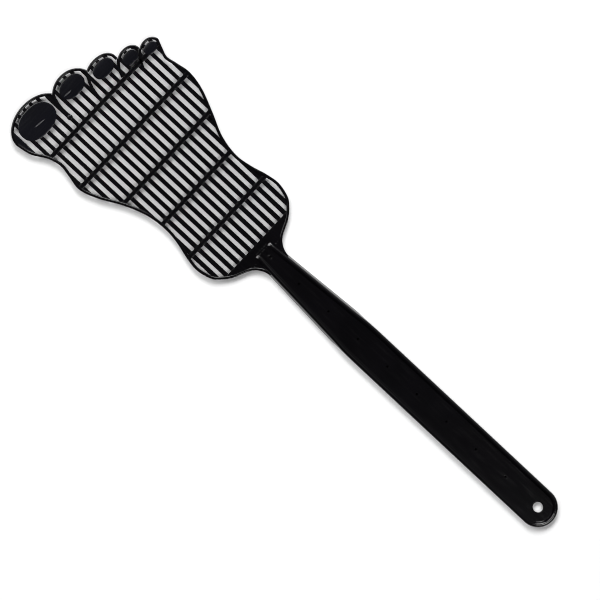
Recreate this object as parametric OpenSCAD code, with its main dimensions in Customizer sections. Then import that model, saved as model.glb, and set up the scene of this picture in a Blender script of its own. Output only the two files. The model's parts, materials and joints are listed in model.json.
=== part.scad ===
// Fly swatter with a foot-shaped slatted head, moulded in one shot from black plastic.
// X runs across the handle, Y from the hang hole to the toes, Z up from the mid-plane of the moulding.

/* [Handle] */
// Width of the straight part of the handle
handle_w = 25; // [22:0.5:28]
// Distance from the hang hole to where the handle starts to taper
taper_start = 155; // [140:1:165]
// Width of the handle where its beads end inside the heel
bead_end_w = 14.4; // [13:0.1:16]
// Distance from the hang hole to the end of the beads
bead_end_y = 235; // [233:0.5:236]
// Width of the raised edge bead
bead_w = 3; // [2.5:0.1:3.5]
// Height of the edge bead over both faces
bead_h = 5; // [4:0.1:6]
// Thickness of the recessed floor
web_t = 2; // [1.6:0.1:2.4]
// Diameter of the hang hole
hole_d = 6.4; // [5:0.1:8]
// Diameter of the round ejector marks on the floor
mark_d = 2.8; // [2:0.1:4]

/* [Foot grid] */
// Distance between slat centres
slat_pitch = 5.33; // [5.2:0.01:5.4]
// Width of a slat at the toe end
slat_w_toe = 2.3; // [2:0.1:2.6]
// Width of a slat at the heel end
slat_w_heel = 2.75; // [2.3:0.05:3]
// Thickness of the slats
slat_t = 1.6; // [1.2:0.1:1.8]
// Distance between cross rib centres
rib_pitch = 26.45; // [26:0.05:26.6]
// Width of a cross rib
rib_w = 2.7; // [2.2:0.1:3.2]
// Thickness of the cross ribs
rib_t = 2; // [1.8:0.1:2.4]

/* [Foot edge] */
// Width of the edge bead round the foot
rim_w = 1.8; // [1.6:0.1:2]
// Thickness of the edge bead round the foot
rim_t = 2.6; // [2.2:0.1:3]
// Thickness of the toe pads, the heel plate and the cleft ribs
pad_t = 2; // [1.8:0.1:2.4]

/* [Hidden] */
plastic = "#141416";
SLATS = 19;
RIBS = 5;
middle_slat = (SLATS + 1) / 2;
lattice_shift = -0.28;
first_rib_y = 371.7;
heel_edge_y = first_rib_y - RIBS * rib_pitch + rib_w / 2;
gusset_top_y = 232;
cross_wall_w = 1.2;
far = 500;
curve_steps = 4;
arc_steps = 24;
mark_count = 9;
mark_pitch = 25.2;
mark_first_y = 28;
mark_h = 0.2;

TOE_NAMES = ["big", "second", "third", "fourth", "little"];
// Each toe is a half ellipse: centre x, centre y, half width, half height
TOES = [
    [-36.8, 392.0, 20.6, 14.65],
    [-7.5, 389.4, 15.1, 12.8],
    [13.9, 386.1, 12.0, 7.75],
    [31.3, 378.7, 8.5, 6.2],
    [44.5, 373.0, 7.5, 6.1]
];
// Each pad is an ellipse: centre x, centre y, half width, half height
PADS = [
    [-37.4, 393.6, 13.5, 9.3],
    [-6.7, 392.6, 9.0, 6.0],
    [15.0, 385.9, 7.5, 4.9],
    [31.5, 378.4, 5.3, 3.7],
    [44.4, 373.2, 4.7, 3.2]
];
// Crease ridge on the two largest pads: centre x, centre y, length
CREASES = [
    [-37.5, 392.2, 9],
    [-10.6, 391.6, 5]
];
crease_w = 0.8;
crease_h = 0.2;

// Both sides start on the handle's edge and flare out round the heel
HEEL = [
    [8.13, 221], [9.7, 226.5], [14.4, 232], [24.8, 237], [31.2, 242],
    [35, 247], [37.2, 256.5], [36, 266], [33.2, 277], [31.9, 288.5]
];
LEFT_FOOT = [
    [-33.4, 302.5], [-38.5, 317], [-46.3, 332], [-50.5, 344.5],
    [-49, 354.5], [-47.8, 363], [-49.9, 372], [-55.4, 382], [-57.4, 392]
];
RIGHT_FOOT = [
    [34.6, 302.5], [41.3, 317], [47.6, 332], [49.9, 344.5], [48.5, 354.5],
    [47.4, 361.5], [49.4, 367], [52, 373]
];

// The first cleft rib fills the corner between a slat and this curve, and ends in a ball
FIRST_CLEFT = [[-16.4, 399.5], [-19.2, 392.5], [-20, 388.7], [-20.2, 385.6], [-20.1, 380]];
first_cleft_slat = 6;
cleft_ball_r = 1.85;
// The points along the middle of the other cleft ribs
CLEFTS = [
    [[7.2, 394.5], [4.4, 388.8], [2.5, 385.4], [1, 381.3], [0.2, 377], [-0.3, 373]],
    [[26.6, 384], [23.8, 380.9], [21.9, 378.7], [20.6, 376.2], [19.1, 373]],
    [[40.3, 377.7], [37.8, 376], [36, 374.1], [34.6, 372.2], [33.2, 369.6], [31.8, 367]]
];
cleft_w = 1.9;
CLEFT_RIBS = len(CLEFTS) + 1;

function toe_node(name, kind) = str(name, "_toe_", kind);
function slat_node(i) = str("slat_", i < 10 ? "0" : "", i);

// Outline tools

function unit(v) = v / norm(v);
function left_of(v) = [-v[1], v[0]];
function reversed(list) = [for (i = [len(list) - 1 : -1 : 0]) list[i]];
function mirrored(list) = [for (p = list) [-p[0], p[1]]];

// Smooth curve through all points of a list
function spline_point(a, b, c, d, t) =
    0.5 * (2 * b + (c - a) * t + (2 * a - 5 * b + 4 * c - d) * t * t + (3 * b - a - 3 * c + d) * t * t * t);
function spline(list) = concat(
    [for (i = [0 : len(list) - 2], s = [0 : curve_steps - 1])
        spline_point(list[max(i - 1, 0)], list[i], list[i + 1], list[min(i + 2, len(list) - 1)], s / curve_steps)],
    [list[len(list) - 1]]
);
// The same curve moved to its left by a distance
function shifted(list, distance) = [
    for (i = [0 : len(list) - 1])
        list[i] + distance * left_of(unit(list[min(i + 1, len(list) - 1)] - list[max(i - 1, 0)]))
];
function strip(list, width) = concat(shifted(list, width / 2), reversed(shifted(list, -width / 2)));
function but_last(list) = [for (i = [0 : len(list) - 2]) list[i]];
// A side's inner edge ends level with the toe's inner edge
function inner_side(list, distance) =
    concat(but_last(shifted(list, distance)), [list[len(list) - 1] + distance * left_of([0, 1])]);

function on_ellipse(e, inset, angle) = [e[0] + (e[2] - inset) * cos(angle), e[1] + (e[3] - inset) * sin(angle)];
function ellipse_angle(e, p) = atan2((p[1] - e[1]) / e[3], (p[0] - e[0]) / e[2]);
function arc(e, inset, from, to) = [
    for (i = [0 : arc_steps]) on_ellipse(e, inset, from + (to - from) * i / arc_steps)
];
// Height of a toe's edge over x; outside the toe it falls away
function toe_top(e, x) =
    abs(x - e[0]) < e[2] ? e[1] + e[3] * sqrt(1 - pow((x - e[0]) / e[2], 2)) : e[1] - far;
// The notch between two toes, where the next toe rises over this one
function notch_x(e, f, low, high, turns) =
    turns == 0 ? high :
    toe_top(e, (low + high) / 2) > toe_top(f, (low + high) / 2)
        ? notch_x(e, f, (low + high) / 2, high, turns - 1)
        : notch_x(e, f, low, (low + high) / 2, turns - 1);
function notch(i) =
    let (x = notch_x(TOES[i], TOES[i + 1], TOES[i][0], TOES[i + 1][0], 24)) [x, toe_top(TOES[i + 1], x)];

// Each toe's edge runs clockwise from one notch to the next, and drops straight down below the half ellipse
function toe_from(i) = i == 0 ? 180 : ellipse_angle(TOES[i], notch(i - 1));
function toe_to(i) = i == len(TOES) - 1 ? 0 : ellipse_angle(TOES[i], notch(i));
function toe_edge(i, inset) = concat(
    arc(TOES[i], inset, toe_from(i), max(toe_to(i), 0)),
    toe_to(i) < 0 ? [[TOES[i][0] + TOES[i][2] - inset, notch(i)[1]]] : []
);

left_edge = spline(concat(mirrored(HEEL), LEFT_FOOT));
right_edge = spline(concat(HEEL, RIGHT_FOOT));
left_inner = inner_side(left_edge, -rim_w);
right_inner = inner_side(right_edge, rim_w);

// Everything inside the edge bead of the foot
module foot_inside() {
    toes = [for (i = [0 : len(TOES) - 1]) each concat(toe_edge(i, rim_w), i < len(TOES) - 1 ? [notch(i)] : [])];
    polygon(concat(but_last(left_inner), toes, reversed(but_last(right_inner))));
}

module plate(thickness) {
    color(plastic) linear_extrude(thickness, center = true) children();
}

module band(from_y, to_y, from_x = -far, to_x = far) {
    translate([from_x, from_y]) square([to_x - from_x, to_y - from_y]);
}

// Handle

// Outline of the handle between two half widths, from the hang hole to the end of the beads
function taper(inset) = [
    [handle_w / 2 - inset, 0],
    [handle_w / 2 - inset, taper_start],
    [bead_end_w / 2 - inset, bead_end_y]
];

module right_bead_outline(from_y, to_y) {
    intersection() {
        polygon(concat(taper(0), reversed(taper(bead_w))));
        band(from_y, to_y);
    }
}

module web_outline() {
    polygon(concat(taper(bead_w), reversed(mirrored(taper(bead_w)))));
}

module handle_footprint() {
    polygon(concat(taper(0), reversed(mirrored(taper(0)))));
    cross_wall_outline();
}

module cross_wall_outline() {
    band(bead_end_y, bead_end_y + cross_wall_w, -bead_end_w / 2, bead_end_w / 2);
}

module handle_web() {
    difference() {
        union() {
            plate(web_t) web_outline();
            plate(web_t) intersection() {
                circle(r = handle_w / 2 - bead_w, $fn = 96);
                band(-handle_w, 0);
            }
            for (i = [0 : mark_count - 1]) ejector_mark(mark_first_y + i * mark_pitch);
        }
        cylinder(d = hole_d, h = 2 * web_t, center = true, $fn = 96);
    }
}

module ejector_mark(y) {
    color(plastic) translate([0, y, 0]) cylinder(d = mark_d, h = web_t / 2 + mark_h, $fn = 48);
}

module handle_right_bead() {
    plate(bead_h) right_bead_outline(0, taper_start);
}

module handle_left_bead() {
    mirror([1, 0, 0]) handle_right_bead();
}

module taper_right_bead() {
    plate(bead_h) right_bead_outline(taper_start, bead_end_y);
}

module taper_left_bead() {
    mirror([1, 0, 0]) taper_right_bead();
}

module handle_end_bead() {
    plate(bead_h) intersection() {
        difference() {
            circle(d = handle_w, $fn = 96);
            circle(r = handle_w / 2 - bead_w, $fn = 96);
        }
        band(-handle_w, 0);
    }
}

module neck_cross_wall() {
    plate(bead_h - 1) cross_wall_outline();
}

module neck_gusset(from_x, to_x) {
    plate(web_t) difference() {
        intersection() {
            foot_inside();
            band(HEEL[0][1], gusset_top_y, from_x, to_x);
        }
        handle_footprint();
    }
}

module neck_left_gusset() {
    neck_gusset(-far, 0);
}

module neck_right_gusset() {
    neck_gusset(0, far);
}

// Foot

module heel_plate() {
    plate(pad_t) difference() {
        intersection() {
            foot_inside();
            band(gusset_top_y, heel_edge_y);
        }
        handle_footprint();
    }
}

module side_rim(outer, inner) {
    plate(rim_t) difference() {
        polygon(concat(outer, reversed(inner)));
        handle_footprint();
    }
}

module left_side_rim() {
    side_rim(left_edge, left_inner);
}

module right_side_rim() {
    side_rim(right_edge, right_inner);
}

module toe_rim(i) {
    plate(rim_t) polygon(concat(toe_edge(i, 0), reversed(toe_edge(i, rim_w))));
}

module pad_outline(i) {
    polygon(arc(PADS[i], 0, 0, 360 * arc_steps / (arc_steps + 1)));
}

module toe_pad(i) {
    plate(pad_t) pad_outline(i);
    if (i < len(CREASES)) crease(CREASES[i]);
}

module crease(at) {
    color(plastic) translate([at[0] - at[2] / 2, at[1] - crease_w / 2, 0])
        cube([at[2], crease_w, pad_t / 2 + crease_h]);
}

module pads_outline() {
    for (i = [0 : len(PADS) - 1]) pad_outline(i);
}

module first_cleft_outline() {
    left_x = slat_x(first_cleft_slat) - slat_w_heel / 2;
    ball_y = FIRST_CLEFT[4][1];
    polygon(concat(spline(FIRST_CLEFT), [[left_x, ball_y], [left_x, far]]));
    translate([slat_x(first_cleft_slat), ball_y]) circle(r = cleft_ball_r, $fn = 32);
}

module cleft_rib_1() {
    plate(pad_t) intersection() {
        foot_inside();
        first_cleft_outline();
    }
}

// The other cleft ribs stop at the first cross rib and at the slats that they meet
module cleft_rib(i) {
    plate(pad_t) difference() {
        intersection() {
            foot_inside();
            polygon(strip(spline(CLEFTS[i - 2]), cleft_w));
        }
        rib_bar(1);
        for (n = [first_cleft_slat : SLATS]) slat_bar(n);
    }
}

module rib_bar(n) {
    band(rib_y(n) - rib_w / 2, rib_y(n) + rib_w / 2);
}

function rib_y(n) = first_rib_y - (n - 1) * rib_pitch;

module cross_rib(n) {
    difference() {
        plate(rib_t) difference() {
            intersection() {
                foot_inside();
                rib_bar(n);
            }
            if (n == 1) pads_outline();
        }
        translate([0, 0, -rib_t / 2]) linear_extrude(rib_t / 2) for (k = [1 : SLATS]) slat_bar(k);
    }
}

function slat_x(n) = (n - middle_slat) * slat_pitch + lattice_shift;

module slat_bar(n) {
    toe_y = TOES[0][1] + TOES[0][3];
    translate([slat_x(n), 0]) polygon([
        [-slat_w_heel / 2, heel_edge_y], [slat_w_heel / 2, heel_edge_y],
        [slat_w_toe / 2, toe_y], [-slat_w_toe / 2, toe_y]
    ]);
}

module slat(n) {
    difference() {
        plate(slat_t) difference() {
            intersection() {
                foot_inside();
                slat_bar(n);
            }
            pads_outline();
            first_cleft_outline();
        }
        linear_extrude(slat_t) for (k = [1 : RIBS]) rib_bar(k);
    }
}

module big_toe_side_web() {
    right_x = slat_x(0) + slat_w_toe / 2;
    plate(slat_t) intersection() {
        foot_inside();
        band(rib_y(1) + 3 * rib_w, far, -far, right_x);
    }
}

handle_web();
handle_left_bead();
handle_right_bead();
handle_end_bead();
taper_left_bead();
taper_right_bead();
neck_cross_wall();
neck_left_gusset();
neck_right_gusset();
heel_plate();
left_side_rim();
right_side_rim();
big_toe_side_web();
for (i = [0 : len(TOES) - 1]) toe_rim(i);
for (i = [0 : len(PADS) - 1]) toe_pad(i);
cleft_rib_1();
for (i = [2 : CLEFT_RIBS]) cleft_rib(i);
for (i = [1 : RIBS]) cross_rib(i);
for (i = [1 : SLATS]) slat(i);
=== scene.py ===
import json
import math

import bmesh
import bpy
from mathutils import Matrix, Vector


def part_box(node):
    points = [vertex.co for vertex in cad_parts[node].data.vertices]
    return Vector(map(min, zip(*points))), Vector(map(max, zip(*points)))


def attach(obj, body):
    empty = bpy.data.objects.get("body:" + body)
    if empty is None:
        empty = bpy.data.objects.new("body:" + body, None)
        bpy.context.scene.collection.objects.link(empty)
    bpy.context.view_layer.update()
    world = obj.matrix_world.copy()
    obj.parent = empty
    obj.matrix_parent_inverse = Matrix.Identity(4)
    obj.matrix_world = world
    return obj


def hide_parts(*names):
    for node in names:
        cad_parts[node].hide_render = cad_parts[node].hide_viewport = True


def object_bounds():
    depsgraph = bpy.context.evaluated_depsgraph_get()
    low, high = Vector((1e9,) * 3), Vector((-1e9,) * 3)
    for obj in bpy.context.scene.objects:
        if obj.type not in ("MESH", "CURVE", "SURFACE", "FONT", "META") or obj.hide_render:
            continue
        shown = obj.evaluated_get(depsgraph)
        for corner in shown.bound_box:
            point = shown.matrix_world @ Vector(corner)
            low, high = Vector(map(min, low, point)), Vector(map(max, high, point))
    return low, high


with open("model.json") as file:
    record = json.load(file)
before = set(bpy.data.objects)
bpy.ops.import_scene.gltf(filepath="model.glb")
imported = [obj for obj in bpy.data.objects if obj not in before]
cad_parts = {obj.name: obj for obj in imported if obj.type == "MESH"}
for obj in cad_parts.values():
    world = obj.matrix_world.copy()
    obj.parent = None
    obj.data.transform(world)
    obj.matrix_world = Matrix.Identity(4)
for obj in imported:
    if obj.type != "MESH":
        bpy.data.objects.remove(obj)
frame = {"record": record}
cad_low, cad_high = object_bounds()

MM = 0.001
BODY = "root"

# ---------------------------------------------------------------- sizes, in mm, read from the frame


def box_mm(node):
    low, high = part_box(node)
    return low / MM, high / MM


def centre_x(node):
    low, high = box_mm(node)
    return (low.x + high.x) / 2


END_BEAD = box_mm("handle_end_bead")[1]
HANDLE_R = END_BEAD.x
BEAD_TOP = END_BEAD.z
BEAD_W = HANDLE_R - box_mm("handle_web")[1].x
WEB_TOP = -box_mm("handle_web")[0].z
TAPER_START, WEB_END = (corner.y for corner in box_mm("taper_right_bead"))
BEAD_END_R = box_mm("neck_cross_wall")[1].x
HOLE_R = frame["record"]["mounts"][0]["dims"]["r_mm"]
RIM_TOP = box_mm("left_side_rim")[1].z
RIB_TOP = box_mm("cross_rib_3")[1].z
SLAT_TOP = box_mm("slat_10")[1].z
PLATE_TOP = box_mm("heel_plate")[1].z
HEEL_EDGE = box_mm("heel_plate")[1].y
GUSSET_TOP = box_mm("heel_plate")[0].y
RIBS = [(box_mm(f"cross_rib_{n}")[0].y, box_mm(f"cross_rib_{n}")[1].y) for n in range(1, 6)]
SLAT_PITCH = (centre_x("slat_13") - centre_x("slat_07")) / 6
SLAT_X = {n: centre_x("slat_10") + (n - 10) * SLAT_PITCH for n in range(0, 20)}
TOE_END = cad_high.y / MM

# Along the taper the outer walls of the beads lean out, and the beads step inwards a little
BEAD_LEAN = 1.4
BEAD_STEP = 0.3
# Towards the head the beads sink, and end in a nose
SINK_LENGTH = 30
SINK_DEPTH = 1.1
NOSE_LENGTH = 2.6
NOSE_START = WEB_END - 2.4
# Ejector marks on the handle's floor, and a stronger one at the neck
MARK_FIRST_Y = 28
MARK_PITCH = 25.2
MARKS = 8
MARK_RISE = 0.02
NECK_MARK_Y = WEB_END - 5.8
NECK_MARK_RISE = 0.08
SLAT_W_TOE = 2.4
SLAT_W_HEEL = 2.95
# The moulded skin stands a hair outside the CAD outline at the sides; ribs and pads lie nearer the heel
SIDE_GROWTH = 0.25
RIB_SETTLE = 0.22
PAD_SETTLE = 0.4
PAD_GROWTH = 0.15
# Power of the pads' outline, where 2 is an ellipse and more is squarer
PAD_POWER = 2.3
RIM_W = 1.9

# The foot's outline, by the same points as the CAD model
HEEL = [
    (8.13, 221), (9.7, 226.5), (14.4, 232), (24.8, 237), (31.2, 242),
    (35, 247), (37.2, 256.5), (36, 266), (33.2, 277), (31.9, 288.5),
]
LEFT_FOOT = [
    (-33.4, 302.5), (-38.5, 317), (-46.3, 332), (-50.5, 344.5),
    (-49, 354.5), (-47.8, 363), (-49.9, 372), (-55.4, 382), (-57.4, 392),
]
RIGHT_FOOT = [
    (34.6, 302.5), (41.3, 317), (47.6, 332), (49.9, 344.5), (48.5, 354.5),
    (47.4, 361.5), (49.4, 367), (52, 373),
]
# Each toe is a half ellipse: centre x, centre y, half width, half height
TOES = {
    "big": (-36.8, 392.0, 20.6, 14.65),
    "second": (-7.5, 389.4, 15.1, 12.8),
    "third": (13.9, 386.1, 12.0, 7.75),
    "fourth": (31.3, 378.7, 8.5, 6.2),
    "little": (44.5, 373.0, 7.5, 6.1),
}
# Right edge of the first cleft rib, and the lines along the middle of the others
FIRST_CLEFT = [(-16.4, 399.5), (-19.2, 392.5), (-20, 388.7), (-20.2, 385.6), (-20.1, 380)]
CLEFTS = {
    2: [(7.2, 394.5), (4.4, 388.8), (2.5, 385.4), (1, 381.3), (0.2, 377), (-0.3, 373)],
    3: [(26.6, 384), (23.8, 380.9), (21.9, 378.7), (20.6, 376.2), (19.1, 373)],
    4: [(40.3, 377.7), (37.8, 376), (36, 374.1), (34.6, 372.2), (33.2, 369.6), (31.8, 367)],
}
# Short webs that fill the narrow corners between a slat and the side rim, from end to end
CORNER_WEBS = {
    "slat_16": [(33.7, 266), (33, 272)],
    "slat_17": [(38.9, 318.5), (37.7, 314)],
}
CLEFT_W = 1.9
CLEFT_BALL_R = 1.85
FIRST_CLEFT_SLAT = 6
# Crease ridge on the two largest pads: its ends
CREASES = [[(-41.5, 391.6), (-33.2, 390.7)], [(-14.7, 391.4), (-8.4, 390.9)]]

# ---------------------------------------------------------------- camera

VIEW_CENTRE = Vector((-6.88, 197, 0)) * MM
VIEW_WIDTH = 375 * MM
LENS = 200
TURN = math.radians(-46.95)


def make_camera():
    data = bpy.data.cameras.new("camera")
    data.lens = LENS
    camera = bpy.data.objects.new("camera", data)
    bpy.context.scene.collection.objects.link(camera)
    distance = VIEW_WIDTH * LENS / data.sensor_width
    camera.location = VIEW_CENTRE + Vector((0, 0, distance))
    camera.rotation_euler = (0, 0, TURN)
    data.clip_end = 2 * distance
    bpy.context.scene.camera = camera


make_camera()

# ---------------------------------------------------------------- flat curves


def left_of(v):
    return Vector((-v.y, v.x))


def mirrored(points):
    return [(-x, y) for x, y in points]


def spline(points, steps=6):
    """A smooth curve through all the points."""
    p = [Vector(q) for q in points]
    out = []
    for i in range(len(p) - 1):
        a, b, c, d = p[max(i - 1, 0)], p[i], p[i + 1], p[min(i + 2, len(p) - 1)]
        for s in range(steps):
            t = s / steps
            cubic = 3 * b - a - 3 * c + d
            out.append(0.5 * (2 * b + (c - a) * t + (2 * a - 5 * b + 4 * c - d) * t**2 + cubic * t**3))
    return out + [p[-1]]


def heading(path, i):
    return (path[min(i + 1, len(path) - 1)] - path[max(i - 1, 0)]).normalized()


def shifted(path, distance):
    """The same curve moved to its left."""
    return [p + distance * left_of(heading(path, i)) for i, p in enumerate(path)]


def on_ellipse(e, inset, angle):
    return Vector((e[0] + (e[2] - inset) * math.cos(angle), e[1] + (e[3] - inset) * math.sin(angle)))


def toe_top(e, x):
    """Height of a toe's edge over x; outside the toe it falls away."""
    across = (x - e[0]) / e[2]
    return e[1] + e[3] * math.sqrt(1 - across**2) if abs(across) < 1 else e[1] - TOE_END


def notch(e, f):
    """Where the next toe rises over this one."""
    low, high = e[0], f[0]
    for _ in range(24):
        middle = (low + high) / 2
        if toe_top(e, middle) > toe_top(f, middle):
            low = middle
        else:
            high = middle
    return Vector((high, toe_top(f, high)))


def ellipse_angle(e, p):
    return math.atan2((p.y - e[1]) / e[3], (p.x - e[0]) / e[2])


def toe_edge(name, inset):
    """A toe's edge, clockwise from one notch to the next, moved inwards."""
    steps = 32
    names = list(TOES)
    i = names.index(name)
    e = TOES[name]
    start = math.pi if i == 0 else ellipse_angle(e, notch(TOES[names[i - 1]], e))
    foot = None
    stop = 0.0
    if i < len(names) - 1:
        corner = notch(e, TOES[names[i + 1]])
        stop = ellipse_angle(e, corner)
        if stop < 0:
            foot = Vector((e[0] + e[2] - inset, corner.y))
            stop = 0.0
    edge = [on_ellipse(e, inset, start + (stop - start) * k / steps) for k in range(steps + 1)]
    return edge + [foot] if foot else edge


def foot_line(inset):
    """The whole outline of the foot, moved inwards."""
    line = shifted(spline(mirrored(HEEL) + LEFT_FOOT), -inset)[:-1]
    for name in TOES:
        line += toe_edge(name, inset)
    return line + shifted(spline(HEEL + RIGHT_FOOT), inset)[-2::-1]


def smooth_step(t):
    t = min(max(t, 0), 1)
    return t * t * (3 - 2 * t)


def handle_half_width(y):
    """Half width of the handle, with the start of its taper eased over a short curve."""
    slope = (HANDLE_R - BEAD_END_R) / (WEB_END - TAPER_START)
    ease = 10
    past = y - TAPER_START
    if past < -ease:
        return HANDLE_R
    if past > ease:
        return HANDLE_R - slope * past
    return HANDLE_R - slope * (past + ease) ** 2 / (4 * ease)


def handle_draft(y):
    """The outer wall of the bead is upright along the grip and leans out along the taper."""
    start = TAPER_START - 2
    length = 14
    return smooth_step((y - start) / length)


def bead_middle(y):
    """How far out the middle of the bead runs."""
    return handle_half_width(y) - BEAD_W / 2 - BEAD_STEP * handle_draft(y)


# ---------------------------------------------------------------- meshes


def build(name, verts, faces):
    """A smooth-shaded object from vertices in mm."""
    mesh = bpy.data.meshes.new(name)
    mesh.from_pydata([Vector(v) * MM for v in verts], [], faces)
    face_outwards(mesh)
    soften(mesh)
    obj = bpy.data.objects.new(name, mesh)
    bpy.context.scene.collection.objects.link(obj)
    return obj


def soften(mesh):
    """Smooth shading, but level faces stay flat so that rounded edges do not bend their reflections."""
    level = 0.9999
    mesh.shade_smooth()
    mesh.set_sharp_from_angle(angle=math.radians(40))
    for face in mesh.polygons:
        face.use_smooth = abs(face.normal.z) < level


def face_outwards(mesh):
    """Joins vertices that coincide and turns an inside-out mesh the right way."""
    bm = bmesh.new()
    bm.from_mesh(mesh)
    bmesh.ops.remove_doubles(bm, verts=bm.verts, dist=0.0005 * MM)
    if bm.calc_volume(signed=True) < 0:
        bmesh.ops.reverse_faces(bm, faces=bm.faces)
    bm.to_mesh(mesh)
    bm.free()


def tube(rings):
    """Faces of a tube whose rings all have the same number of points, with both ends closed."""
    n = len(rings[0])
    verts = [v for ring in rings for v in ring]
    faces = [
        (r * n + k, r * n + (k + 1) % n, (r + 1) * n + (k + 1) % n, (r + 1) * n + k)
        for r in range(len(rings) - 1)
        for k in range(n)
    ]
    last = (len(rings) - 1) * n
    return verts, faces + [tuple(range(n))[::-1], tuple(range(last, last + n))]


def round_section(half_w, half_h, power, count):
    """A soft-cornered oblong, or an ellipse with power 2: points across and up."""
    points = []
    for k in range(count):
        a = 2 * math.pi * k / count
        c, s = math.cos(a), math.sin(a)
        across = math.copysign(abs(c) ** (2 / power), c)
        up = math.copysign(abs(s) ** (2 / power), s)
        points.append((half_w * across, half_h * up))
    return points


def plank_section(half_w, half_h, edge=0.3):
    """A flat-faced bar with rounded edges: points across and up."""
    steps = 4
    points = []
    for corner, (x_side, z_side) in enumerate(((1, 1), (-1, 1), (-1, -1), (1, -1))):
        for k in range(steps + 1):
            a = math.radians(90 * (corner + k / steps))
            across = x_side * (half_w - edge) + edge * math.cos(a)
            points.append((across, z_side * (half_h - edge) + edge * math.sin(a)))
    return points


def ring_at(p, side, section):
    """A section stood up at a point, square to the path."""
    return [(p.x + side.x * u, p.y + side.y * u, v) for u, v in section]


def sweep(path, sections):
    """Carries a section along a flat path; sections is one for all points or one for each."""
    each = sections if isinstance(sections[0], list) else [sections] * len(path)
    return tube([ring_at(p, left_of(heading(path, i)), each[i]) for i, p in enumerate(path)])


def joined(*parts):
    """Several lists of vertices and faces as one."""
    verts, faces = [], []
    for v, f in parts:
        faces += [tuple(i + len(verts) for i in face) for face in f]
        verts += v
    return verts, faces


def prism(outline, half_h):
    """A flat plate with upright sides."""
    n = len(outline)
    verts = [(p[0], p[1], z) for z in (-half_h, half_h) for p in outline]
    sides = [(k, (k + 1) % n, n + (k + 1) % n, n + k) for k in range(n)]
    return verts, sides + [tuple(range(n))[::-1], tuple(range(n, 2 * n))]


def apply_modifiers(obj):
    """Turns the result of the modifiers into the object's own mesh."""
    depsgraph = bpy.context.evaluated_depsgraph_get()
    mesh = bpy.data.meshes.new_from_object(obj.evaluated_get(depsgraph))
    obj.modifiers.clear()
    obj.data = mesh
    soften(mesh)
    return obj


def rounded(obj, width):
    """Rounds the sharp edges of a plate."""
    bevel = obj.modifiers.new("round", "BEVEL")
    bevel.width = width * MM
    bevel.segments = 3
    bevel.limit_method = "ANGLE"
    bevel.angle_limit = math.radians(50)
    return apply_modifiers(obj)


def clipped(obj, cutter, operation="INTERSECT"):
    """Keeps what lies inside the cutter, or with DIFFERENCE what lies outside it."""
    cut = obj.modifiers.new("clip", "BOOLEAN")
    cut.operation = operation
    cut.solver = "EXACT"
    cut.object = cutter
    return apply_modifiers(obj)


# ---------------------------------------------------------------- materials


def black_plastic(name, tint, rough, wave, grain, scuff, lay=(1, 0.06, 1)):
    """Glossy moulded plastic: slow flow waves, a fine skin, and faint scuffs drawn out along the lay.
    The heights of the waves and the grain are in mm."""
    material = bpy.data.materials.new(name)
    material.use_nodes = True
    nodes, links = material.node_tree.nodes, material.node_tree.links
    shader = nodes["Principled BSDF"]
    shader.inputs["IOR"].default_value = 1.5
    place = nodes.new("ShaderNodeTexCoord").outputs["Object"]

    def noise(scale, detail, stretch=(1, 1, 1)):
        mapping = nodes.new("ShaderNodeMapping")
        mapping.inputs["Scale"].default_value = stretch
        links.new(place, mapping.inputs["Vector"])
        texture = nodes.new("ShaderNodeTexNoise")
        texture.inputs["Scale"].default_value = scale
        texture.inputs["Detail"].default_value = detail
        links.new(mapping.outputs["Vector"], texture.inputs["Vector"])
        return texture.outputs["Fac"]

    def bump(height, distance, strength, normal=None):
        node = nodes.new("ShaderNodeBump")
        node.inputs["Distance"].default_value = distance * MM
        node.inputs["Strength"].default_value = strength
        links.new(height, node.inputs["Height"])
        if normal:
            links.new(normal, node.inputs["Normal"])
        return node.outputs["Normal"]

    def ramp(factor, low, high, start, end):
        node = nodes.new("ShaderNodeValToRGB")
        node.color_ramp.elements[0].position = start
        node.color_ramp.elements[1].position = end
        node.color_ramp.elements[0].color = (*low, 1)
        node.color_ramp.elements[1].color = (*high, 1)
        links.new(factor, node.inputs["Fac"])
        return node.outputs["Color"]

    shade = ramp(noise(35, 2), tint, tuple(2 * c for c in tint), 0.35, 0.75)
    links.new(shade, shader.inputs["Base Color"])
    scuffs = noise(900, 4, lay)
    gloss = ramp(scuffs, (rough,) * 3, (rough + scuff,) * 3, 0.5, 0.78)
    links.new(gloss, shader.inputs["Roughness"])
    surface = bump(noise(60, 2, (1, 0.3, 1)), wave, 1.0)
    surface = bump(noise(1800, 3), grain, 0.6, surface)
    links.new(surface, shader.inputs["Normal"])
    return material


BLACK = (0.0010, 0.0008, 0.0012)
PAD_BLACK = (0.0020, 0.0020, 0.0033)
# The pads' scuffs run across the foot, and all others along the swatter
ACROSS = (0.06, 1, 1)
MATERIALS = {
    "handle_plastic": black_plastic("handle_plastic", BLACK, rough=0.12, wave=0.03, grain=0.003, scuff=0.07),
    "edge_plastic": black_plastic("edge_plastic", BLACK, rough=0.13, wave=0.02, grain=0.003, scuff=0.06),
    "pad_plastic": black_plastic(
        "pad_plastic", PAD_BLACK, rough=0.155, wave=0.03, grain=0.006, scuff=0.05, lay=ACROSS
    ),
    "grid_plastic": black_plastic("grid_plastic", BLACK, rough=0.13, wave=0.01, grain=0.003, scuff=0.06),
}
SLOT_OF = {s["node"]: s["material_slot"] for s in frame["record"]["subparts"]}


def stand_for(obj, *nodes):
    """The piece rides on the body, takes the nodes' finish and hides the plain CAD solids."""
    slot = SLOT_OF[nodes[0]]
    obj.data.materials.clear()
    obj.data.materials.append(MATERIALS[slot])
    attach(obj, BODY)
    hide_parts(*nodes)


# ---------------------------------------------------------------- handle


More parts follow.
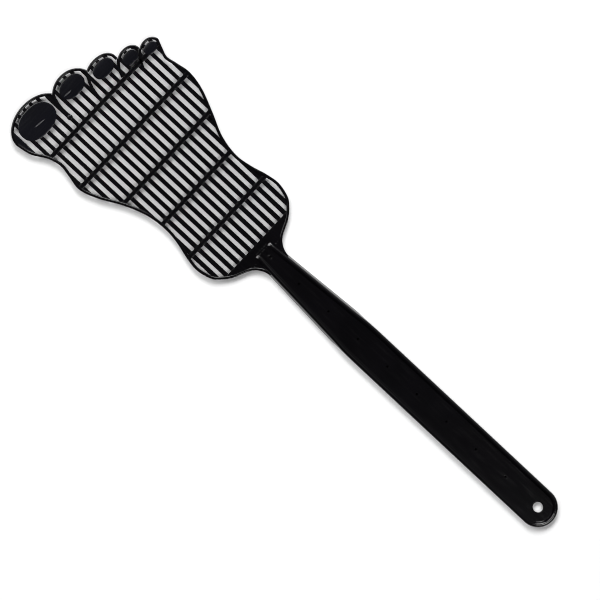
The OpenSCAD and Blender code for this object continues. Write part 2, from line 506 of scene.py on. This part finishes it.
def bead_section(height, draft=0.0):
    """Bead with a round crest and a small fillet at the foot of its inner side, from the outer wall inwards.
    With draft the outer wall leans out, down to a tight lower corner."""
    radius = BEAD_W / 2
    rise = height - WEB_TOP
    quarter = [math.radians(90 * k / 9) for k in range(10)]
    crest = [math.radians(11 * k) for k in range(1, 7)]
    inner = [(radius * math.sin(a), WEB_TOP + rise * math.cos(a)) for a in crest]
    inner += [
        (radius * 0.98, WEB_TOP + rise * 0.25),
        (radius + 0.12, WEB_TOP + rise * 0.1),
        (radius + 0.35, WEB_TOP + 0.03),
        (radius + 0.6, WEB_TOP - 0.1),
        (radius + 0.6, 0),
    ]
    tight = 1 - 0.7 * draft
    narrow = 1 - 0.25 * draft
    upper = [(-radius * math.cos(a), WEB_TOP + rise * math.sin(a)) for a in quarter]
    lower = [(-radius * math.cos(a) ** tight, -WEB_TOP - rise * math.sin(a) ** tight) for a in quarter]
    outer = lower[::-1] + [(-radius, 0)] + upper
    leaning = [(u * narrow - BEAD_LEAN * draft * (height - v) / (2 * height), v) for u, v in outer]
    return leaning + inner + [(u, -v) for u, v in inner[-2::-1]]


def bead_height(y):
    """The beads sink towards the head and end in a round nose."""
    sunk = max((y - WEB_END + SINK_LENGTH) / SINK_LENGTH, 0)
    height = BEAD_TOP - SINK_DEPTH * sunk**2
    nose = (y - NOSE_START) / NOSE_LENGTH
    if nose > 0:
        height = WEB_TOP + (height - WEB_TOP) * math.sqrt(max(1 - nose**2, 0.01))
    return height


def side_bead(sign):
    """The bead along one side: sparse along the grip, closer along the taper, closest in the nose."""
    fine_start = WEB_END - 2
    ys = [TAPER_START * k / 24 for k in range(24)]
    ys += [TAPER_START + (fine_start - TAPER_START) * k / 32 for k in range(33)]
    ys += [fine_start + 0.3 * k for k in range(1, 11)]
    path = [Vector((sign * bead_middle(y), y)) for y in ys]
    sections = [[(sign * u, v) for u, v in bead_section(bead_height(y), handle_draft(y))] for y in ys]
    return sweep(path, sections)


def end_bead():
    """The bead round the end with the hang hole."""
    radius = HANDLE_R - BEAD_W / 2
    count = 48
    rings = []
    for k in range(count + 1):
        a = math.pi * k / count
        p = Vector((-radius * math.cos(a), -radius * math.sin(a)))
        rings.append(ring_at(p, -p.normalized(), bead_section(BEAD_TOP)))
    return tube(rings)


def disc_rings(radii_heights, centre, count):
    """Level circles round a centre, one for each radius and height."""
    turns = [2 * math.pi * k / count for k in range(count)]
    return [
        [(centre[0] + r * math.cos(a), centre[1] + r * math.sin(a), z) for a in turns]
        for r, z in radii_heights
    ]


def flared_hole():
    """What is cut away for the hang hole, with softly rounded lips."""
    lip = 0.4
    above = 0.001
    upper = [(HOLE_R + 2 * lip, WEB_TOP + lip)]
    for k in range(7):
        a = math.radians(15 * k)
        upper.append((HOLE_R + lip - lip * math.sin(a), WEB_TOP + above - lip + lip * math.cos(a)))
    return tube(disc_rings(upper + [(r, -z) for r, z in reversed(upper)], (0, 0), 96))


def floor_outline():
    """Edge of the recessed floor, hidden under the beads."""
    under_bead = BEAD_W / 2 - 0.9
    ys = [WEB_END * k / 30 for k in range(31)]
    right = [(bead_middle(y) - under_bead, y) for y in ys]
    radius = HANDLE_R - BEAD_W / 2 - under_bead
    angles = [math.radians(-180 + 180 * k / 40) for k in range(1, 40)]
    end = [(radius * math.cos(a), radius * math.sin(a)) for a in angles]
    return end + right + [(-x, y) for x, y in reversed(right)]


def ejector_mark(y, rise):
    """A faint raised disc with a rounded rim and a dimple."""
    profile = [(1.8, 0), (1.6, 0.2), (1.4, 0.75), (1.2, 1), (1, 0.75), (0.8, 0.2), (0.6, 0), (0.2, 0)]
    sunk = [(1.5, -0.3)] + [(r, rise * h) for r, h in profile]
    return tube(disc_rings([(r, WEB_TOP + h) for r, h in sunk], (0, y), 40))


def neck_wall():
    """The low wall that closes the floor between the ends of the beads."""
    half_length = BEAD_END_R - 2
    path = [Vector((x, WEB_END + 0.5)) for x in (-half_length, -2, 0, 2, half_length)]
    return sweep(path, plank_section(0.8, WEB_TOP + 0.05, 0.06))


def make_handle():
    web = build("handle_floor", *prism(floor_outline(), WEB_TOP))
    cutter = build("hole_cutter", *flared_hole())
    stand_for(clipped(web, cutter, "DIFFERENCE"), "handle_web")
    bpy.data.objects.remove(cutter)
    marks = [ejector_mark(MARK_FIRST_Y + MARK_PITCH * k, MARK_RISE) for k in range(MARKS)]
    marks.append(ejector_mark(NECK_MARK_Y, NECK_MARK_RISE))
    stand_for(build("ejector_marks", *joined(*marks)), "handle_web")
    stand_for(build("right_bead", *side_bead(1)), "handle_right_bead", "taper_right_bead")
    stand_for(build("left_bead", *side_bead(-1)), "handle_left_bead", "taper_left_bead")
    stand_for(build("end_bead", *end_bead()), "handle_end_bead")
    stand_for(build("neck_wall", *neck_wall()), "neck_cross_wall")


# ---------------------------------------------------------------- foot


def side_part(points, low, high, inset):
    """The part of one side's edge between two heights, moved inwards."""
    side = spline(points, 12)
    sign = 1 if points[0][0] > 0 else -1
    return [p for p in shifted(side, sign * inset) if low <= p.y <= high]


def make_plates():
    """The heel plate, notched round the end of the handle, and the two gussets below it."""
    under_rim = RIM_W / 2
    inner_x = 5.7
    notch_y = WEB_END + 0.6
    side = [tuple(p) for p in side_part(HEEL, GUSSET_TOP, HEEL_EDGE, under_rim)]
    side = [(side[0][0] - 0.6, GUSSET_TOP)] + side + [(side[-1][0] + 0.3, HEEL_EDGE)]
    slot = [(inner_x, GUSSET_TOP), (inner_x, notch_y), (-inner_x, notch_y), (-inner_x, GUSSET_TOP)]
    plate = build("heel_plate_skin", *prism(mirrored(side) + side[::-1] + slot, PLATE_TOP))
    stand_for(rounded(plate, 0.2), "heel_plate")

    start_y = 223
    lap_y = GUSSET_TOP + 0.5
    curve = [tuple(p) for p in side_part(HEEL, start_y + 1, lap_y, under_rim)]
    right = curve + [(inner_x, lap_y), (inner_x, start_y)]
    for name, outline in (("left", mirrored(right)), ("right", right)):
        gusset = build(f"{name}_gusset", *prism(outline, PLATE_TOP - 0.2))
        stand_for(gusset, f"neck_{name}_gusset")


def make_rims():
    """The rounded bead round the foot: two sides and five toes."""
    section = round_section(RIM_W / 2, RIM_TOP, 4, 40)
    growth_end = RIGHT_FOOT[-1][1] - 3
    growth_fade = 15
    for name, sign, points in (("left", -1, mirrored(HEEL) + LEFT_FOOT), ("right", 1, HEEL + RIGHT_FOOT)):
        line = spline(points, 10)
        path = []
        for i, p in enumerate(line):
            growth = SIDE_GROWTH * smooth_step((growth_end - p.y) / growth_fade)
            path.append(p + sign * (RIM_W / 2 - growth) * left_of(heading(line, i)))
        stand_for(build(f"{name}_edge", *sweep(path, section)), f"{name}_side_rim")
    overlap = 0.9
    for name in TOES:
        path = toe_edge(name, RIM_W / 2)
        if name != "big":
            path = [path[0] - overlap * heading(path, 0)] + path
        stand_for(build(f"{name}_toe_edge", *sweep(path, section)), f"{name}_toe_rim")


def fillet(distance, radius):
    """Extra half width of a bar near the member that it joins."""
    if distance >= radius:
        return 0
    return radius - math.sqrt(radius**2 - (radius - distance) ** 2)


def bar_stations(low, high, radius):
    """Places along a bar between two members, close together in the fillets."""
    near = [radius * f for f in (0, 0.08, 0.2, 0.4, 0.7, 1)]
    steps = 3
    middle = [low + radius + (high - low - 2 * radius) * k / steps for k in range(1, steps)]
    return [low + d for d in near] + middle + [high - d for d in reversed(near)]


def slat_bar(n):
    """A slat from the heel plate to the toes, widened where it meets the cross ribs."""
    radius = 0.45
    x = SLAT_X[n]
    levels = [HEEL_EDGE] + [y for low, high in reversed(RIBS) for y in (low, high)] + [TOE_END + 1]
    rings = []
    for low, high in zip(levels[::2], levels[1::2]):
        for y in bar_stations(low, high, radius):
            share = (y - HEEL_EDGE) / (TOE_END - HEEL_EDGE)
            half = (SLAT_W_HEEL + (SLAT_W_TOE - SLAT_W_HEEL) * share) / 2
            half += fillet(y - low, radius)
            if high < TOE_END:
                half += fillet(high - y, radius)
            rings.append([(x + u, y, v) for u, v in plank_section(half, SLAT_TOP)])
    first = [(px, HEEL_EDGE - 0.8, pz) for px, _, pz in rings[0]]
    return tube([first] + rings)


def big_toe_web():
    """The filled strip between the first slat and the outer side of the big toe."""
    inner_x = SLAT_X[0] + 1.15
    outer_x = -60
    low, high = 379, 405
    return prism([(inner_x, low), (inner_x, high), (outer_x, high), (outer_x, low)], SLAT_TOP)


def make_grid(inside):
    """Slats, cross ribs and the small webs, all cut off at the foot's outline."""
    tight = 0.12
    for n in range(1, 20):
        node = f"slat_{n:02d}"
        stand_for(clipped(build(f"{node}_bar", *slat_bar(n)), inside), node)
    for n, (low, high) in enumerate(RIBS, 1):
        node = f"cross_rib_{n}"
        start, end = box_mm(node)
        middle = (low + high) / 2 - RIB_SETTLE
        path = [Vector((x, middle)) for x in (start.x - RIM_W, 0, end.x + RIM_W)]
        bar = build(f"{node}_bar", *sweep(path, plank_section((high - low) / 2, RIB_TOP, tight)))
        stand_for(clipped(bar, inside), node)
    for node, ends in CORNER_WEBS.items():
        web = build(f"{node}_web", *sweep([Vector(p) for p in ends], plank_section(0.8, SLAT_TOP, tight)))
        stand_for(clipped(web, inside), node)
    web = rounded(build("big_toe_web", *big_toe_web()), 0.3)
    stand_for(clipped(web, inside), "big_toe_side_web")


def make_clefts(inside):
    """The ribs between the toes; the first fills the corner beside a slat and ends in a ball."""
    slat_x = SLAT_X[FIRST_CLEFT_SLAT]
    left_x = slat_x - SLAT_W_HEEL / 2
    rings = []
    for p in spline(FIRST_CLEFT, 6):
        section = plank_section((p.x - left_x) / 2, PLATE_TOP)
        rings.append([((p.x + left_x) / 2 + u, p.y, v) for u, v in section])
    stand_for(clipped(build("cleft_1_rib", *tube(rings)), inside), "cleft_rib_1")

    side = [(u, v) for u, v in round_section(CLEFT_BALL_R, PLATE_TOP * 1.1, 4, 40) if u > 0.1]
    side.sort(key=lambda point: point[1])
    ball = tube(disc_rings(side, (slat_x, FIRST_CLEFT[-1][1]), 32))
    stand_for(build("cleft_1_ball", *ball), "cleft_rib_1")

    section = plank_section(CLEFT_W / 2, PLATE_TOP)
    for n, points in CLEFTS.items():
        rib = build(f"cleft_{n}_rib", *sweep(spline(points, 8), section))
        stand_for(clipped(rib, inside), f"cleft_rib_{n}")


def pad_rings(node):
    """A flat oval pad with tight edges and a slightly crowned face, alike on both sides."""
    low, high = box_mm(node)
    cx, cy = (low.x + high.x) / 2, (low.y + high.y) / 2 - PAD_SETTLE
    half_x = (high.x - low.x) / 2 + PAD_GROWTH
    half_y = (high.y - low.y) / 2 + PAD_GROWTH
    edge = 0.15
    crown = 0.15
    profile = [(0, PLATE_TOP - edge), (edge * 0.3, PLATE_TOP - edge * 0.3), (edge, PLATE_TOP)]
    ovals = [(half_x - inset, half_y - inset, z) for inset, z in profile]
    for share in (0.98, 0.85, 0.7, 0.55, 0.4, 0.25, 0.1):
        ovals.append(((half_x - edge) * share, (half_y - edge) * share, PLATE_TOP + crown * (1 - share**2)))
    both = [(a, b, -z) for a, b, z in reversed(ovals)] + ovals
    return [[(cx + u, cy + v, z) for u, v in round_section(a, b, PAD_POWER, 64)] for a, b, z in both]


def crease_ridge(start, end):
    """A low ridge on a pad that swells from both ends."""
    a, b = Vector(start), Vector(end)
    side = left_of((b - a).normalized())
    half_w = 0.36
    half_h = 0.13
    middle_z = PLATE_TOP + 0.1
    steps = 16
    rings = []
    for k in range(steps + 1):
        swell = math.sqrt(max(1 - (2 * k / steps - 1) ** 2, 0.02))
        ring = ring_at(a.lerp(b, k / steps), side, round_section(half_w * swell, half_h * swell, 2, 16))
        rings.append([(x, y, z + middle_z) for x, y, z in ring])
    return tube(rings)


def make_pads():
    for name in TOES:
        node = f"{name}_toe_pad"
        stand_for(build(f"{name}_pad", *tube(pad_rings(node))), node)
    for ends, name in zip(CREASES, TOES):
        stand_for(build(f"{name}_toe_crease", *crease_ridge(*ends)), f"{name}_toe_pad")


inside_foot = build("inside_foot", *prism([tuple(p) for p in foot_line(RIM_W * 0.5)], 2 * RIM_TOP))
make_handle()
make_plates()
make_rims()
make_grid(inside_foot)
make_clefts(inside_foot)
make_pads()
bpy.data.objects.remove(inside_foot)

# ---------------------------------------------------------------- floor and light


# The springy neck holds the head a little higher than the handle, so the floor falls away under it
FLOOR_FALL = math.radians(0.17)
LIGHT_DISTANCE = 3.0


def make_floor():
    """A plain white floor at the height of the beads' lower faces, hinged at the hang hole's end."""
    half = 3.0
    verts = [(-half, -half, 0), (half, -half, 0), (half, half, 0), (-half, half, 0)]
    mesh = bpy.data.meshes.new("floor")
    mesh.from_pydata(verts, [], [(0, 1, 2, 3)])
    floor = bpy.data.objects.new("floor", mesh)
    floor.location = (0, cad_low.y, cad_low.z)
    floor.rotation_euler = (-FLOOR_FALL, 0, 0)
    bpy.context.scene.collection.objects.link(floor)
    material = bpy.data.materials.new("white_floor")
    material.use_nodes = True
    shader = material.node_tree.nodes["Principled BSDF"]
    shader.inputs["Base Color"].default_value = (0.92, 0.92, 0.92, 1)
    shader.inputs["Roughness"].default_value = 1.0
    shader.inputs["Specular IOR Level"].default_value = 0.0
    mesh.materials.append(material)


def soft_light(name, azimuth, zenith, size, power):
    """A square soft light that faces the middle of the view; azimuth is counted from +X towards +Y."""
    data = bpy.data.lights.new(name, "AREA")
    data.shape = "SQUARE"
    data.size = size
    data.energy = power
    light = bpy.data.objects.new(name, data)
    a, z = math.radians(azimuth), math.radians(zenith)
    out = Vector((math.sin(z) * math.cos(a), math.sin(z) * math.sin(a), math.cos(z)))
    light.location = VIEW_CENTRE + out * LIGHT_DISTANCE
    light.rotation_euler = out.to_track_quat("Z", "Y").to_euler()
    bpy.context.scene.collection.objects.link(light)


def make_light():
    soft_light("key_light", 44, 43, 1.35, 74)
    soft_light("low_light", 262, 25, 0.8, 28)
    soft_light("top_light", 95, 34, 1.3, 32)
    soft_light("side_light", 0, 52, 2.8, 7)
    world = bpy.data.worlds.new("studio")
    world.use_nodes = True
    world.node_tree.nodes["Background"].inputs["Color"].default_value = (0.9, 0.95, 1, 1)
    world.node_tree.nodes["Background"].inputs["Strength"].default_value = 0.03
    bpy.context.scene.world = world
    bpy.context.scene.view_settings.view_transform = "Standard"
    bpy.context.scene.cycles.filter_width = 1.0


make_floor()
make_light()
